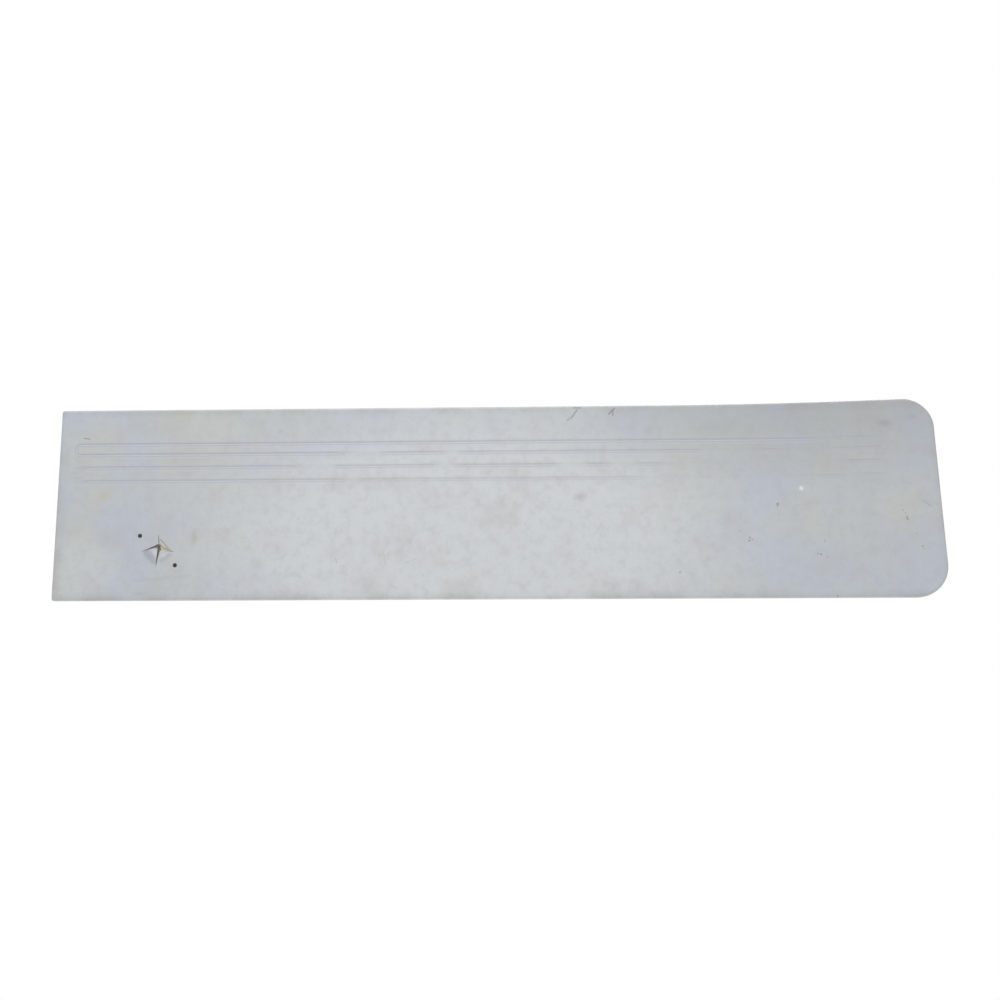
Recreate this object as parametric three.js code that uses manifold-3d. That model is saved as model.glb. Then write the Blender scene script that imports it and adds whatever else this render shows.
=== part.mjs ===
// A vinyl-covered door kick panel: a hardboard backing with a thin foam pad, a vinyl cover wrapped
// round its edges and stapled behind, and push clips that float in keyholes and snap into the door.
// Millimetres. X runs along the panel, Z is up, and the show face looks towards -Y.
// The origin is mid-length and mid-height, on the plane of the door's sheet, where the seals meet it.

import * as THREE from "three";
import { ConvexGeometry } from "three/addons/geometries/ConvexGeometry.js";
import { mergeVertices } from "three/addons/utils/BufferGeometryUtils.js";
import Module from "manifold-3d";

// ---- Driving dimensions: the panel's outline ----
const panelLength = 890; // along the bottom edge, to where its square corners would be
const panelHeight = 195; // at the square end
const rake = 7.9; // how far the right end leans back from bottom to top
const flareRise = 4; // how much the top edge rises towards the right end
const flareLength = 252; // the stretch of top edge over which it rises
const squareCorner = 2.5; // corner radius at the left end
const upperCorner = 30; // corner radius at the right end, top
const lowerCorner = 33; // corner radius at the right end, bottom

// ---- Driving dimensions: the layers ----
const boardThickness = 3;
const padThickness = 2;
const coverThickness = 1;
const layerGap = 0.3; // clearance between layers that lie on each other
const hemWidth = 15; // cover folded over the back, from the outer edge inwards
const hemGap = 0.6; // width of the mitre cut in the hem at each square corner
const hemNotches = 4; // wedges cut from the hem round each round corner
const hemNotchHalfAngle = 0.16; // radians
const hemNotchRoot = 2; // hem left whole between a wedge's tip and the folded edge

// ---- Driving dimensions: the embossed lines in the cover ----
const lineWidth = 3.2;
const lineDepth = 0.5;
const lineDrops = { top: 37.1, second: 46.5, third: 60.2, fourth: 74.1 }; // below the straight top edge
const lineLeftMargin = 17.5; // from the left edge to the lines
const lineRightMargin = 56; // from the right end to the lines
const lineLift = 2.3; // how much the lines rise with the flared end
const lineLiftLength = 120; // the stretch over which they rise
const loopCorner = 4; // corner radius of the loop that the two top lines form

// ---- Driving dimensions: the window-crank opening ----
const spindleHoleRadius = 12.5;
const spindleHoleFromLeft = 105.3;
const spindleHoleFromBottom = 50;
const slitCentre = [1.85, 5.35]; // from the hole's middle: where the four cuts cross
const slitTips = {
  top: [0.85, 15.45],
  left: [-16.35, -1.85],
  bottom: [-0.45, -16.85],
  right: [17.15, -1.65],
};
const slitWidth = 0.6; // clearance all round each flap
const flapHingeBevel = 1.5; // how far a flap's front edge is cut back along its hinge
const flapRest = { upperLeft: 0, upperRight: 24, lowerRight: 6, lowerLeft: 8 }; // degrees pushed in
const screwHoleRadius = 2.25;
const screwHoles = [[-18.35, 14.95], [18.35, -14.95]]; // from the spindle hole's middle

// ---- Driving dimensions: clips, seals and staples ----
const clipFromHem = 1.5; // between the hem and a clip's seal
const clipsPerLongEdge = 5;
const clipEndMargin = 40; // first and last clip on a long edge, from the panel's ends
const clipTravel = 3; // float each way along the keyhole
const clipNeckRadius = 2.4;
const clipHeadRadius = 5.5;
const clipHeadThickness = 1.2;
const clipFlangeRadius = 7.5;
const clipFlangeThickness = 1.4;
const clipStemRadius = 2.6;
const clipBarbRadius = 4.3;
const clipTipRadius = 1.1;
const clipBarbLength = 8;
const clipGrip = 2.2; // stem left bare behind the seal, for the door's sheet
const sealRadius = 8.5;
const sealThickness = 3;
const runningClearance = 0.4; // between the clip and what it slides in or carries
const keyholeLand = 1.1; // narrow slot left between the clip's travel and the keyhole's round end
const staplesPerLongEdge = 11;
const stapleEndMargin = 28;
const endStapleSpacing = 88; // between the two staples at each end
const stapleLength = 10;
const stapleWire = [1.2, 0.6]; // width and thickness of the flat wire
const stapleCover = 0.8; // board left in front of the staples' points

// ---- Worked-out places ----
const left = -panelLength / 2;
const right = panelLength / 2;
const bottom = -panelHeight / 2;
const top = panelHeight / 2;
const sealBack = 0;
const sealFront = sealBack - sealThickness;
const flangeBack = sealFront - layerGap;
const flangeFront = flangeBack - clipFlangeThickness;
const boardBack = flangeFront - layerGap;
const boardFront = boardBack - boardThickness;
const padBack = boardFront - layerGap;
const padFront = padBack - padThickness;
const coverInside = padFront - layerGap;
const coverFront = coverInside - coverThickness;
const hemInside = boardBack + layerGap;
const hemOutside = hemInside + coverThickness;
const pastHem = [hemInside - 0.1, hemOutside + 1]; // depths that cut right through the hem
const pastFace = [coverFront - 1, coverInside + 1]; // and through the cover's face
const layerInset = coverThickness + layerGap; // board and pad edge, from the panel's outline
const hole = new THREE.Vector2(left + spindleHoleFromLeft, bottom + spindleHoleFromBottom);
const clipInset = hemWidth + clipFromHem + Math.max(sealRadius, clipFlangeRadius);
const stapleInset = (layerInset + hemWidth) / 2;

const origin = new THREE.Vector2();

const wasm = await Module();
wasm.setup();

const finish = {
  vinyl: new THREE.MeshStandardMaterial({ color: 0xbfc2c5, roughness: 0.55, metalness: 0 }),
  foam: new THREE.MeshStandardMaterial({ color: 0xc9bc96, roughness: 0.95, metalness: 0 }),
  hardboard: new THREE.MeshStandardMaterial({ color: 0x6e4a2c, roughness: 0.8, metalness: 0 }),
  nylon: new THREE.MeshStandardMaterial({ color: 0xe7e3d6, roughness: 0.45, metalness: 0 }),
  seal: new THREE.MeshStandardMaterial({ color: 0x38383a, roughness: 0.9, metalness: 0 }),
  wire: new THREE.MeshStandardMaterial({ color: 0xa8acb0, roughness: 0.35, metalness: 0.9 }),
};

const panel = new THREE.Group();

// ---- Solids and outlines ----

function addPiece(name, geometry, material) {
  const mesh = new THREE.Mesh(geometry, material);
  mesh.name = name;
  panel.add(mesh);
  return mesh;
}

function toSolid(geometry) {
  const bare = geometry.clone();
  bare.deleteAttribute("normal");
  bare.deleteAttribute("uv");
  const merged = mergeVertices(bare, 1e-4);
  const vertProperties = new Float32Array(merged.attributes.position.array);
  const triVerts = new Uint32Array(merged.index.array);
  return new wasm.Manifold(new wasm.Mesh({ numProp: 3, vertProperties, triVerts }));
}

function toGeometry(solid) {
  const mesh = solid.getMesh();
  const geometry = new THREE.BufferGeometry();
  geometry.setAttribute("position", new THREE.BufferAttribute(mesh.vertProperties, 3));
  geometry.setIndex(new THREE.BufferAttribute(mesh.triVerts, 1));
  geometry.computeVertexNormals();
  return geometry;
}

function cut(body, tools) {
  return tools.reduce((rest, tool) => rest.subtract(toSolid(tool)), toSolid(body));
}

// A flat slab whose outline lies in the X-Z plane, between two depths along Y.
function slab(outline, front, back, holes = []) {
  const shape = new THREE.Shape(outline);
  shape.holes = holes.map((points) => new THREE.Path(points));
  const geometry = new THREE.ExtrudeGeometry(shape, { depth: back - front, bevelEnabled: false });
  geometry.rotateX(Math.PI / 2);
  geometry.translate(0, back, 0);
  return geometry;
}

function arc(centre, radius, from, to) {
  const steps = Math.max(2, Math.ceil(Math.abs(to - from) * Math.sqrt(radius) * 1.5));
  const points = [];
  for (let i = 0; i <= steps; i++) {
    const angle = from + ((to - from) * i) / steps;
    points.push(new THREE.Vector2(centre.x + radius * Math.cos(angle), centre.y + radius * Math.sin(angle)));
  }
  return points;
}

function circle(centre, radius) {
  return arc(centre, radius, 0, Math.PI * 2).slice(0, -1);
}

// A closed outline through corner points [x, z, radius], listed anticlockwise, with each corner rounded.
function rounded(corners) {
  const places = corners.map(([x, z]) => new THREE.Vector2(x, z));
  return corners.flatMap(([, , radius = 0], i) => {
    const corner = places[i];
    const before = places.at(i - 1).clone().sub(corner);
    const after = places[(i + 1) % places.length].clone().sub(corner);
    const angle = Math.abs(before.angleTo(after));
    if (radius <= 0) return [corner];
    const room = (side, [, , other = 0]) => side.length() * (other > 0 ? 0.49 : 0.98);
    const roomBefore = room(before, corners.at(i - 1));
    const roomAfter = room(after, corners[(i + 1) % corners.length]);
    const reach = Math.min(radius / Math.tan(angle / 2), roomBefore, roomAfter);
    const fitted = reach * Math.tan(angle / 2);
    const inward = before.clone().normalize().add(after.clone().normalize()).normalize();
    const centre = corner.clone().addScaledVector(inward, fitted / Math.sin(angle / 2));
    const start = corner.clone().addScaledVector(before.normalize(), reach).sub(centre).angle();
    return arc(centre, fitted, start, start + Math.PI - angle);
  });
}

// A straight-sided slot with round ends, from one centre to another.
function slot(from, to, radius) {
  const heading = to.clone().sub(from).angle();
  return [
    ...arc(to, radius, heading - Math.PI / 2, heading + Math.PI / 2),
    ...arc(from, radius, heading + Math.PI / 2, heading + (Math.PI * 3) / 2),
  ];
}

// ---- The panel's outline ----

const rightEdge = (z) => right - (rake * (z - bottom)) / panelHeight;
const flareEnd = rightEdge(top) - upperCorner - squareCorner;
const flareStart = flareEnd - flareLength;

function topEdge(x) {
  const along = (x - flareStart) / flareLength;
  if (along <= 0) return top;
  if (along < 1) return top + flareRise * along * along;
  return top + flareRise * (2 * along - 1);
}

function outline(inset) {
  const flareSteps = 5;
  const corners = [
    [left + inset, bottom + inset, Math.max(squareCorner - inset, 0)],
    [rightEdge(bottom) - inset, bottom + inset, Math.max(lowerCorner - inset, 0)],
    [rightEdge(topEdge(right)) - inset, topEdge(rightEdge(top)) - inset, Math.max(upperCorner - inset, 0)],
  ];
  for (let i = flareSteps; i >= 0; i--) {
    const x = flareStart + (flareLength * i) / flareSteps;
    corners.push([x, topEdge(x) - inset]);
  }
  corners.push([left + inset, top - inset, Math.max(squareCorner - inset, 0)]);
  return rounded(corners);
}

// ---- The window-crank opening ----

const offHole = ([x, z]) => new THREE.Vector2(hole.x + x, hole.y + z);
const crossing = offHole(slitCentre);
const tips = Object.fromEntries(Object.entries(slitTips).map(([name, place]) => [name, offHole(place)]));

// Where the cut towards one tip passes over the rim of the spindle hole.
function rimPoint(tip) {
  const along = tip.clone().sub(crossing).normalize();
  const fromHole = crossing.clone().sub(hole);
  const half = fromHole.dot(along);
  const reach = -half + Math.sqrt(half * half - fromHole.lengthSq() + spindleHoleRadius ** 2);
  return crossing.clone().addScaledVector(along, reach);
}

const rim = Object.fromEntries(Object.entries(tips).map(([name, tip]) => [name, rimPoint(tip)]));
const flapNames = {
  upperLeft: ["slit_flap_upper_left", "top", "left"],
  lowerLeft: ["slit_flap_lower_left", "left", "bottom"],
  lowerRight: ["slit_flap_lower_right", "bottom", "right"],
  upperRight: ["slit_flap_upper_right", "right", "top"],
};

// A triangle with each side moved inwards by its own distance; side i runs from corner i to the next.
function shrinkTriangle(corners, insets) {
  const lines = corners.map((corner, i) => {
    const along = corners[(i + 1) % 3].clone().sub(corner).normalize();
    const inward = new THREE.Vector2(-along.y, along.x);
    return { inward, level: inward.dot(corner) + insets[i] };
  });
  return lines.map((line, i) => {
    const last = lines.at(i - 1);
    const det = last.inward.x * line.inward.y - last.inward.y * line.inward.x;
    const x = (last.level * line.inward.y - line.level * last.inward.y) / det;
    const z = (line.level * last.inward.x - last.level * line.inward.x) / det;
    return new THREE.Vector2(x, z);
  });
}

function slitFlap(name, from, to, pushedIn) {
  const corners = [from, to, crossing];
  const half = slitWidth / 2;
  const behind = shrinkTriangle(corners, [slitWidth, half, half]);
  const infront = shrinkTriangle(corners, [flapHingeBevel + half, half, half]);
  const points = [
    ...behind.map((p) => new THREE.Vector3(p.x, coverInside, p.y)),
    ...infront.map((p) => new THREE.Vector3(p.x, coverFront, p.y)),
  ];
  const geometry = new ConvexGeometry(points);
  geometry.translate(-from.x, -coverInside, -from.y);
  const flap = addPiece(name, geometry, finish.vinyl);
  const hinge = new THREE.Vector3(to.x - from.x, 0, to.y - from.y).normalize();
  flap.position.set(from.x, coverInside, from.y);
  flap.quaternion.setFromAxisAngle(hinge, THREE.MathUtils.degToRad(-pushedIn));
}

// The same opening through every layer: each layer's outline holes for the spindle and its screws.
const screwOutlines = screwHoles.map((at) => circle(offHole(at), screwHoleRadius));
const crankHoles = [circle(hole, spindleHoleRadius), ...screwOutlines];

function coverOpening() {
  const opening = slab(Object.values(rim), ...pastFace);
  const arms = Object.values(tips).map((tip) => {
    const along = tip.clone().sub(crossing).normalize();
    const across = new THREE.Vector2(-along.y, along.x).multiplyScalar(slitWidth / 2);
    return slab([crossing.clone().sub(across), tip, crossing.clone().add(across)], ...pastFace);
  });
  const screws = screwOutlines.map((points) => slab(points, ...pastFace));
  return [opening, ...arms, ...screws];
}

// ---- Embossed lines ----

const lineRight = right - lineRightMargin;
const lineLeft = left + lineLeftMargin;

// A long band whose right end rises; grow moves its outline outwards.
function band(low, high, corner, grow) {
  const liftSteps = 4;
  const radius = Math.max(corner + grow, 0.4);
  const stations = [];
  for (let i = 0; i < liftSteps; i++) {
    const along = i / liftSteps;
    stations.push([lineRight - lineLiftLength * (1 - along), lineLift * along * along]);
  }
  return rounded([
    [lineLeft - grow, low - grow, radius],
    ...stations.map(([x, lift]) => [x, low - grow + lift]),
    [lineRight + grow, low - grow + lineLift, radius],
    [lineRight + grow, high + grow + lineLift, radius],
    ...stations.reverse().map(([x, lift]) => [x, high + grow + lift]),
    [lineLeft - grow, high + grow, radius],
  ]);
}

function embossedLines() {
  const half = lineWidth / 2;
  const floor = coverFront + lineDepth;
  const loopEdge = (grow) => band(top - lineDrops.second, top - lineDrops.top, loopCorner, grow);
  const loop = slab(loopEdge(half), coverFront - 1, floor, [loopEdge(-half)]);
  const single = [lineDrops.third, lineDrops.fourth].map((drop) => {
    return slab(band(top - drop, top - drop, 0, half), coverFront - 1, floor);
  });
  return [loop, ...single];
}

// ---- Clips in keyholes ----

function clipPlaces() {
  const places = [];
  const first = left + clipEndMargin;
  const last = rightEdge(top) - clipEndMargin;
  for (let i = 0; i < clipsPerLongEdge; i++) {
    const x = first + ((last - first) * i) / (clipsPerLongEdge - 1);
    places.push({ at: new THREE.Vector2(x, topEdge(x) - clipInset), along: new THREE.Vector2(1, 0) });
    places.push({ at: new THREE.Vector2(x, bottom + clipInset), along: new THREE.Vector2(1, 0) });
  }
  places.push({ at: new THREE.Vector2(left + clipInset, 0), along: new THREE.Vector2(0, 1) });
  places.push({ at: new THREE.Vector2(rightEdge(0) - clipInset, 0), along: new THREE.Vector2(0, 1) });
  return places;
}

const clips = clipPlaces();
const keyholeSlotRadius = clipNeckRadius + runningClearance;
const keyholeEntryRadius = clipHeadRadius + runningClearance;
const keyholeEntry = clipTravel + keyholeLand + keyholeEntryRadius;

function keyhole({ at, along }) {
  const end = at.clone().addScaledVector(along, -clipTravel);
  const entry = at.clone().addScaledVector(along, keyholeEntry);
  const heading = along.angle();
  const opening = Math.asin(keyholeSlotRadius / keyholeEntryRadius);
  return [
    ...arc(entry, keyholeEntryRadius, heading - Math.PI + opening, heading + Math.PI - opening),
    ...arc(end, keyholeSlotRadius, heading + Math.PI / 2, heading + (Math.PI * 3) / 2),
  ];
}

// The foam is cut away over the whole keyhole, so the clip's head can slide under the cover.
function headPocket({ at, along }) {
  const end = at.clone().addScaledVector(along, -clipTravel);
  const entry = at.clone().addScaledVector(along, keyholeEntry);
  return slot(end, entry, clipHeadRadius + 2 * runningClearance);
}

const turned = (profile) => new THREE.LatheGeometry(profile.map(([r, y]) => new THREE.Vector2(r, y)), 12);

function clipGeometry() {
  const shoulder = sealBack + clipGrip;
  return turned([
    [0, padBack - clipHeadThickness],
    [clipHeadRadius, padBack - clipHeadThickness],
    [clipHeadRadius, padBack],
    [clipNeckRadius, padBack],
    [clipNeckRadius, flangeFront],
    [clipFlangeRadius, flangeFront],
    [clipFlangeRadius, flangeBack],
    [clipStemRadius, flangeBack],
    [clipStemRadius, shoulder],
    [clipBarbRadius, shoulder + clipBarbLength * 0.25],
    [clipTipRadius, shoulder + clipBarbLength],
    [0, shoulder + clipBarbLength],
  ]);
}

function sealGeometry() {
  const bore = clipStemRadius + runningClearance;
  const front = [[bore, sealFront], [sealRadius, sealFront]];
  const back = [[sealRadius, sealBack], [bore, sealBack]];
  return turned([...front, ...back, front[0]]);
}

// ---- Staples through the hem ----

function staplePlaces() {
  const places = [];
  const first = left + stapleEndMargin;
  const last = rightEdge(top) - Math.max(upperCorner, lowerCorner) - stapleLength;
  for (let i = 0; i < staplesPerLongEdge; i++) {
    const x = first + ((last - first) * i) / (staplesPerLongEdge - 1);
    places.push({ x, z: topEdge(x) - stapleInset, turn: 0 });
    places.push({ x, z: bottom + stapleInset, turn: 0 });
  }
  for (const z of [-endStapleSpacing / 2, endStapleSpacing / 2]) {
    places.push({ x: left + stapleInset, z, turn: Math.PI / 2 });
    places.push({ x: rightEdge(z) - stapleInset, z, turn: Math.PI / 2 });
  }
  return places;
}

const staples = staplePlaces();
const crownFront = hemOutside + layerGap;
const crownBack = crownFront + stapleWire[1];
const legTip = boardFront + stapleCover;

function stapleGeometry() {
  const half = stapleLength / 2;
  const inner = half - stapleWire[1];
  const profile = [
    [-half, legTip], [-inner, legTip], [-inner, crownFront], [inner, crownFront],
    [inner, legTip], [half, legTip], [half, crownBack], [-half, crownBack],
  ];
  const shape = new THREE.Shape(profile.map(([x, y]) => new THREE.Vector2(x, y)));
  const geometry = new THREE.ExtrudeGeometry(shape, { depth: stapleWire[0], bevelEnabled: false });
  return geometry.translate(0, 0, -stapleWire[0] / 2);
}

// The hole that one staple's two legs make, from a little past their points to a given depth.
function legHoles({ x, z, turn }, front, back) {
  const long = stapleWire[1] + 2 * layerGap;
  const wide = stapleWire[0] + 2 * layerGap;
  return [-1, 1].map((side) => {
    const leg = new THREE.BoxGeometry(long, back - front, wide);
    leg.translate((side * (stapleLength - stapleWire[1])) / 2, (front + back) / 2, 0);
    leg.rotateY(-turn);
    return leg.translate(x, 0, z);
  });
}

// ---- The pieces ----

function backingBoard() {
  const holes = [...crankHoles, ...clips.map(keyhole)];
  const blank = slab(outline(layerInset), boardFront, boardBack, holes);
  const pockets = staples.flatMap((staple) => legHoles(staple, legTip - layerGap, boardBack + 1));
  addPiece("backing_board", toGeometry(cut(blank, pockets)), finish.hardboard);
}

function foamPad() {
  const holes = [...crankHoles, ...clips.map(headPocket)];
  addPiece("foam_pad", slab(outline(layerInset), padFront, padBack, holes), finish.foam);
}

// Notches let the folded hem lie flat: wedges round each round corner and a mitre at each square one.
function hemCuts() {
  const cuts = [];
  const wedge = (centre, radius, angle) => {
    const away = (reach, turn) => centre.clone().add(new THREE.Vector2(reach, 0).rotateAround(origin, turn));
    const tip = away(radius - layerInset - hemNotchRoot, angle);
    const reach = Math.max(radius - hemWidth - hemNotchRoot, 1);
    const heel = [angle + hemNotchHalfAngle, angle - hemNotchHalfAngle].map((turn) => away(reach, turn));
    return slab([tip, ...heel], ...pastHem);
  };
  const lower = new THREE.Vector2(rightEdge(bottom + lowerCorner) - lowerCorner, bottom + lowerCorner);
  const upper = new THREE.Vector2(rightEdge(top) - upperCorner, topEdge(rightEdge(top)) - upperCorner);
  for (let i = 0; i < hemNotches; i++) {
    const turn = ((i + 0.5) / hemNotches) * (Math.PI / 2);
    cuts.push(wedge(lower, lowerCorner, -turn));
    cuts.push(wedge(upper, upperCorner, turn));
  }
  for (const z of [bottom, top]) {
    const inward = new THREE.Vector2(1, -Math.sign(z)).normalize();
    const across = new THREE.Vector2(-inward.y, inward.x).multiplyScalar(hemGap / 2);
    const outer = new THREE.Vector2(left, z).addScaledVector(inward, layerInset + squareCorner);
    const inner = new THREE.Vector2(left, z).addScaledVector(inward, 2 * hemWidth);
    const near = [outer.clone().add(across), outer.clone().sub(across)];
    const far = [inner.clone().sub(across), inner.clone().add(across)];
    cuts.push(slab([...near, ...far], ...pastHem));
  }
  return cuts;
}

function vinylCover() {
  const blank = slab(outline(0), coverFront, hemOutside);
  const inside = slab(outline(coverThickness), coverInside, hemInside);
  const back = slab(outline(hemWidth), ...pastHem);
  const legs = staples.flatMap((staple) => legHoles(staple, ...pastHem));
  const tools = [inside, back, ...coverOpening(), ...embossedLines(), ...hemCuts(), ...legs];
  addPiece("vinyl_cover", toGeometry(cut(blank, tools)), finish.vinyl);
}

backingBoard();
foamPad();
vinylCover();

for (const [key, [name, from, to]] of Object.entries(flapNames)) {
  slitFlap(name, rim[from], rim[to], flapRest[key]);
}

clips.forEach(({ at }, i) => {
  const number = String(i + 1).padStart(2, "0");
  addPiece(`panel_clip_${number}`, clipGeometry(), finish.nylon).position.set(at.x, 0, at.y);
  addPiece(`clip_seal_${number}`, sealGeometry(), finish.seal).position.set(at.x, 0, at.y);
});

staples.forEach(({ x, z, turn }, i) => {
  const staple = addPiece(`staple_${String(i + 1).padStart(2, "0")}`, stapleGeometry(), finish.wire);
  staple.position.set(x, 0, z);
  staple.rotation.y = -turn;
});

export default panel;
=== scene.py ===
# %% [markdown]
# # A vinyl-covered kick panel
# The lower panel of a vehicle door is a hardboard sheet with a thin foam pad, wrapped in grey vinyl.
# This lesson builds its looks round a measured CAD frame: first the sizes, then the pieces from the
# front to the back, then their finishes, the light and the camera. Everything is in metres, X runs
# along the panel, Z is up and the show face looks towards -Y.

from math import cos, pi, radians, sin

import bpy
import numpy as np
from mathutils import Matrix, Vector


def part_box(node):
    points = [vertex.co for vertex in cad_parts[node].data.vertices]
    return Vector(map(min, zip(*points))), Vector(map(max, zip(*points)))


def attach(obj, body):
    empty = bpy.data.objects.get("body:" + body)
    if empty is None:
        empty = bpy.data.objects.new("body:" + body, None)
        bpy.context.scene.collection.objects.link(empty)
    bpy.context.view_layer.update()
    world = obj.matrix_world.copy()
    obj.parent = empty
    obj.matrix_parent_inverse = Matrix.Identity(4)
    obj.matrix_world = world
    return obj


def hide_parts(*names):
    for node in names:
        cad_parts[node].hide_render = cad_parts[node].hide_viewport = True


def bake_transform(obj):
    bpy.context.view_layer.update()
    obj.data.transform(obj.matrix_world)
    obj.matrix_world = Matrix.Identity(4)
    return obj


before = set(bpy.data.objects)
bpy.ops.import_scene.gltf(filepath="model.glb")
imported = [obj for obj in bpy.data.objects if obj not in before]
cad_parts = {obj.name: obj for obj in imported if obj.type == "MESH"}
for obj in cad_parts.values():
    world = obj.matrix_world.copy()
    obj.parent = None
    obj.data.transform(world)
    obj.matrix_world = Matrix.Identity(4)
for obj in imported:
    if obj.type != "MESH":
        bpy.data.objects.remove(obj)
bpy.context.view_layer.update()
mm = 0.001

# %% [markdown]
# ## Sizes
# The frame gives the place of every layer, so the sizes that other pieces must fit are read from its
# boxes. Only what a box can't tell, such as a corner's radius, is written here as a number.

# %% The panel's sizes
cover_low, cover_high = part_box("vinyl_cover")
board_low, board_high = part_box("backing_board")
pad_low, pad_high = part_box("foam_pad")
left, front, bottom = cover_low
right, hem_back, top = -left, cover_high.y, -bottom
height = top - bottom
layer_inset = board_low.x - left
vinyl = 1 * mm
hem_width = 15 * mm
corner_radii = {"square": 2.5 * mm, "upper": 30 * mm, "lower": 33 * mm}
print(f"panel {1000 * (right - left):.0f} x {1000 * height:.0f} mm, front at {1000 * front:.1f} mm")

# %% [markdown]
# ## Helpers
# Each operator works on what is selected, so most mistakes come from a stray selection. One helper
# clears everything, another picks vertices, edges or faces by a test of their middle. A third cuts a
# piece with a tool by a Boolean modifier, as a punch would.


# %% Selecting, joining and cutting
def only(*pieces):
    """Selects these objects and nothing else."""
    bpy.ops.object.select_all(action="DESELECT")
    for piece in pieces:
        piece.select_set(True)
    bpy.context.view_layer.objects.active = pieces[-1]


def named(name):
    """Names the object that was just added, and puts its place into its mesh."""
    piece = bpy.context.object
    piece.name = piece.data.name = name
    bpy.ops.object.transform_apply(location=True, rotation=True, scale=True)
    return piece


def pick(piece, kind, test):
    """Leaves edit mode on, with just the vertices, edges or faces whose middle passes the test."""
    only(piece)
    bpy.ops.object.mode_set(mode="EDIT")
    bpy.ops.mesh.select_mode(type=kind)
    bpy.ops.mesh.select_all(action="DESELECT")
    bpy.ops.object.mode_set(mode="OBJECT")
    mesh = piece.data
    if kind == "FACE":
        for face in mesh.polygons:
            face.select = test(face.center)
    elif kind == "VERT":
        for vertex in mesh.vertices:
            vertex.select = test(vertex.co)
    else:
        for edge in mesh.edges:
            a, b = (mesh.vertices[i].co for i in edge.vertices)
            edge.select = test((a + b) / 2)
    bpy.ops.object.mode_set(mode="EDIT")


def done():
    bpy.ops.object.mode_set(mode="OBJECT")


def recalculate(piece):
    """Merges doubles and turns every face outwards."""
    pick(piece, "VERT", lambda place: True)
    bpy.ops.mesh.remove_doubles(threshold=0.001 * mm)
    bpy.ops.mesh.normals_make_consistent(inside=False)
    done()


def apply_modifier(piece, kind, **settings):
    only(piece)
    modifier = piece.modifiers.new(kind.title(), kind)
    for name, value in settings.items():
        setattr(modifier, name, value)
    bpy.ops.object.modifier_apply(modifier=modifier.name)


def join(pieces, name):
    only(*pieces)
    if len(pieces) > 1:
        bpy.ops.object.join()
    piece = bpy.context.object
    piece.name = piece.data.name = name
    return piece


def punch(piece, tools, face_material=0):
    """Cuts the tools, which must not overlap, out of the piece and throws them away."""
    tool = join(tools, "tool")
    for material in piece.data.materials:
        tool.data.materials.append(material)
    for face in tool.data.polygons:
        face.material_index = face_material
    apply_modifier(piece, "BOOLEAN", operation="DIFFERENCE", solver="EXACT", object=tool)
    bpy.data.objects.remove(tool)


def smooth(piece, angle=40):
    only(piece)
    bpy.ops.object.shade_smooth_by_angle(angle=radians(angle))


def count(piece):
    piece.data.calc_loop_triangles()
    print(f"{piece.name}: {len(piece.data.loop_triangles)} triangles")


# %% [markdown]
# ## Outlines
# Board, pad and cover share one outline, each moved in by its own amount. The pad's and the cover's
# start as a plane, their four corners are beveled, and each is pulled into a slab. The panel's leaning,
# flared end is added to both of them later by one rule, so that they still fit.


# %% Slabs with the panel's outline
def extrude(depth):
    bpy.ops.mesh.extrude_region_move(TRANSFORM_OT_translate={"value": (0, depth, 0)})
    bpy.ops.mesh.select_all(action="SELECT")
    bpy.ops.mesh.normals_make_consistent(inside=False)
    done()


def panel_slab(name, inset, y_front, y_back):
    only(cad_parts["vinyl_cover"])
    bpy.ops.object.select_all(action="DESELECT")
    bpy.ops.mesh.primitive_plane_add(size=1, location=(0, y_front, 0), rotation=(pi / 2, 0, 0))
    bpy.context.object.scale = (right - left - 2 * inset, height - 2 * inset, 1)
    piece = named(name)
    corners = [
        (left, bottom, "square"),
        (right, bottom, "lower"),
        (right, top, "upper"),
        (left, top, "square"),
    ]
    for x, z, kind in corners:
        radius = corner_radii[kind] - inset
        if radius <= 0:
            continue
        at = Vector((x - np.sign(x) * inset, y_front, z - np.sign(z) * inset))
        pick(piece, "VERT", lambda place: (place - at).length < mm)
        steps = 4 if kind == "square" else 14
        bpy.ops.mesh.bevel(offset=radius, segments=steps, affect="VERTICES", clamp_overlap=False)
        done()
    pick(piece, "FACE", lambda place: True)
    extrude(y_back - y_front)
    return piece


def flat_tool(name, corners, y_front, y_back):
    """A prism that stands on the polygon with these (x, z) corners."""
    bpy.ops.object.select_all(action="DESELECT")
    bpy.ops.mesh.primitive_circle_add(vertices=len(corners), radius=1, fill_type="NGON")
    piece = named(name)
    for vertex, (x, z) in zip(piece.data.vertices, corners):
        vertex.co = (x, y_front, z)
    pick(piece, "FACE", lambda place: True)
    extrude(y_back - y_front)
    return piece


def round_tool(name, x, z, radius, y_front, y_back, sides=32):
    bpy.ops.object.select_all(action="DESELECT")
    bpy.ops.mesh.primitive_cylinder_add(
        vertices=sides,
        radius=radius,
        depth=y_back - y_front,
        location=(x, (y_front + y_back) / 2, z),
        rotation=(pi / 2, 0, 0),
    )
    return named(name)


# %% [markdown]
# ## The crank opening
# The vinyl has a cross-shaped slit over a round hole in the board, so that a window crank's spindle
# can be pushed through. The four cuts meet off the hole's middle and run a little past its rim. Two
# small screw holes sit on a diagonal beside it.

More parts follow.
